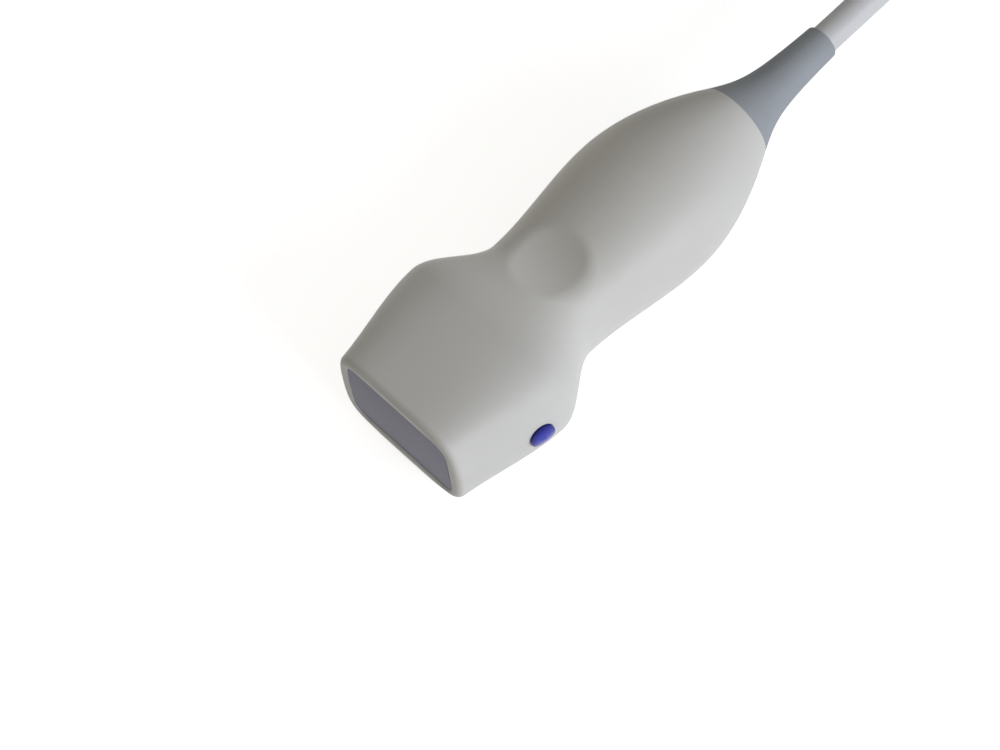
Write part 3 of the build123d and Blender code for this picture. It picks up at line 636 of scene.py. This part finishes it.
painted_mark, taken, given = new_group(
    "painted mark",
    [
        ("Colour", "NodeSocketColor", (0.8, 0.8, 0.8, 1)),
        ("Paint", "NodeSocketColor", (0.1, 0.1, 0.1, 1)),
        ("Middle", "NodeSocketVector", (0.0, 0.0, 0.0)),
        ("Half size", "NodeSocketVector", (0.001, 0.001, 0.001)),
    ],
    [("Colour", "NodeSocketColor")],
)
place = place_in_frame(painted_mark)
offset = calculate_vector(painted_mark, "SUBTRACT", place, taken["Middle"])["Vector"]
in_halves = calculate_vector(painted_mark, "DIVIDE", offset, taken["Half size"])["Vector"]
unsigned = calculate_vector(painted_mark, "ABSOLUTE", in_halves)["Vector"]
apart = painted_mark.nodes.new("ShaderNodeSeparateXYZ")
feed(painted_mark, apart.inputs["Vector"], unsigned)
farther = calculate(painted_mark, "MAXIMUM", apart.outputs["X"], apart.outputs["Y"])
farthest = calculate(painted_mark, "MAXIMUM", farther, apart.outputs["Z"])
inside = ramp(painted_mark, farthest, start=1.05, end=0.95)
feed(painted_mark, given["Colour"], mix_colours(painted_mark, inside, taken["Colour"], taken["Paint"]))

# Two printed bars beside the knob show where its pointer stands when the lock is open and shut
knob_low, knob_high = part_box("lock_knob")
knob_middle = (knob_low + knob_high) / 2
bar_reach = 0.0185
bar_half_length = 0.0022
bar_half_width = 0.0005
print_grey = (0.11, 0.115, 0.125, 1)
printed = seam
for along_x, along_y in ((1, 0), (0, 1)):
    printed = place_group(
        tree, painted_mark, paint=print_grey, colour=printed.outputs["Colour"],
        middle=(knob_middle.x + along_x * bar_reach, knob_middle.y + along_y * bar_reach, cover_high.z),
        half_size=(
            bar_half_length if along_x else bar_half_width,
            bar_half_length if along_y else bar_half_width,
            bar_half_width,
        ),
    )
feed(tree, shader.inputs["Base Color"], printed.outputs["Colour"])
paint(plug_plastic, "plug_base", "plug_cover")

block_plastic, tree, shader = new_finish("block plastic")
mould_surface(
    tree, shader, depth=0.00002,
    colour=(0.03, 0.03, 0.033, 1), deep_colour=(0.045, 0.045, 0.05, 1),
    grains_per_metre=5000.0, patches_per_metre=120.0, smoothest=0.4, roughest=0.6,
)
paint(block_plastic, "contact_block")

contact_gold, tree, shader = new_finish("contact gold")
metal_surface(
    tree, shader,
    colour=(0.9, 0.66, 0.3, 1), deep_colour=(0.78, 0.54, 0.22, 1),
    lines_per_metre=6000.0, smoothest=0.16, roughest=0.3,
)
paint(contact_gold, "contacts")

pointer_half_length = 0.0032
pointer_white = (0.72, 0.72, 0.7, 1)
knob_plastic, tree, shader = new_finish("knob plastic")
surface, _ = mould_surface(
    tree, shader, depth=0.00004,
    colour=(0.3, 0.315, 0.34, 1), deep_colour=(0.265, 0.28, 0.305, 1),
    grains_per_metre=2400.0, patches_per_metre=70.0, smoothest=0.45, roughest=0.62,
)
pointer = place_group(
    tree, painted_mark, paint=pointer_white, colour=surface.outputs["Colour"],
    middle=(knob_high.x - bar_half_length - pointer_half_length, knob_middle.y, knob_high.z),
    half_size=(pointer_half_length, bar_half_width, bar_half_width),
)
feed(tree, shader.inputs["Base Color"], pointer.outputs["Colour"])
paint(knob_plastic, "lock_knob")


# Table, light and camera
# A plain white table under a large soft light from the marker's side, a weaker one from the far side and
# dim light all round. The camera is where the photographer held it, above the lens and looking down.

floor_mesh = bmesh.new()
bmesh.ops.create_grid(floor_mesh, x_segments=1, y_segments=1, size=3.0)
floor_data = bpy.data.meshes.new("table")
floor_mesh.to_mesh(floor_data)
floor_mesh.free()
floor = bpy.data.objects.new("table", floor_data)
bpy.context.collection.objects.link(floor)


def seen_directly(tree):
    """Return an output that is 1 for rays from the camera, a mirror or a glass, and 0 for the rest."""
    ray = tree.nodes.new("ShaderNodeLightPath").outputs
    camera_or_mirror = calculate(tree, "MAXIMUM", ray["Is Camera Ray"], ray["Is Glossy Ray"])
    return calculate(tree, "MAXIMUM", camera_or_mirror, ray["Is Transmission Ray"])


# What the table glows by makes it white to the eye, and leaves the light on the object as it is
table_glow = 0.73
table_white, tree, shader = new_finish("table white")
shader.inputs["Base Color"].default_value = (0.85, 0.85, 0.85, 1)
shader.inputs["Roughness"].default_value = 0.9
shader.inputs["Specular IOR Level"].default_value = 0.0
glow = tree.nodes.new("ShaderNodeEmission")
both = tree.nodes.new("ShaderNodeAddShader")
feed(tree, glow.inputs["Strength"], calculate(tree, "MULTIPLY", seen_directly(tree), table_glow))
feed(tree, both.inputs[0], shader.outputs["BSDF"])
feed(tree, both.inputs[1], glow.outputs["Emission"])
feed(tree, tree.nodes["Material Output"].inputs["Surface"], both.outputs["Shader"])
floor_data.materials.append(table_white)

near_walls = (0.43, 0.44, 0.445, 1)
far_walls = (0.165, 0.142, 0.095, 1)
far_direction = (-0.6, 0.8, 0.0)
plain_white = (1, 1, 1, 1)
world = bpy.data.worlds.new("room")
world.use_nodes = True
bpy.context.scene.world = world
tree = world.node_tree
facing = tree.nodes.new("ShaderNodeTexCoord").outputs["Generated"]
towards_far = calculate_vector(tree, "DOT_PRODUCT", facing, far_direction)["Value"]
walls = mix_colours(tree, ramp(tree, towards_far, start=-1.0, end=1.0), near_walls, far_walls)
shown = mix_colours(tree, seen_directly(tree), walls, plain_white)
feed(tree, tree.nodes["Background"].inputs["Color"], shown)

handpiece_middle = Vector((0.0, 0.0, 0.0132))


def soft_light(name, place, size, watts, tint):
    """Hang a square soft light that faces the handpiece."""
    data = bpy.data.lights.new(name, "AREA")
    data.size = size
    data.energy = watts
    data.color = tint
    light = bpy.data.objects.new(name, data)
    light.location = place
    light.rotation_euler = (handpiece_middle - light.location).to_track_quat("-Z", "Y").to_euler()
    bpy.context.collection.objects.link(light)


soft_light("window side", place=(0.13, -1.05, 0.37), size=0.7, watts=8.05, tint=(0.895, 0.92, 1.0))
soft_light("far side", place=(0.9, 0.95, 0.12), size=0.7, watts=3.4, tint=(0.96, 0.97, 1.0))

camera_place = Vector((-0.21466, -0.25178, 0.62893))
picture_middle = Vector((-0.03467, -0.00532, 0.0132))
camera_roll = -9.496
camera_data = bpy.data.cameras.new("photo camera")
camera_data.lens = 138.63
camera_data.sensor_width = 36.0
camera = bpy.data.objects.new("photo camera", camera_data)
camera.location = camera_place
camera.rotation_mode = "QUATERNION"
aim = (picture_middle - camera_place).to_track_quat("-Z", "Y")
camera.rotation_quaternion = aim @ Quaternion((0, 0, 1), radians(camera_roll))
bpy.context.collection.objects.link(camera)
bpy.context.scene.camera = camera
bpy.context.scene.view_settings.view_transform = "Standard"
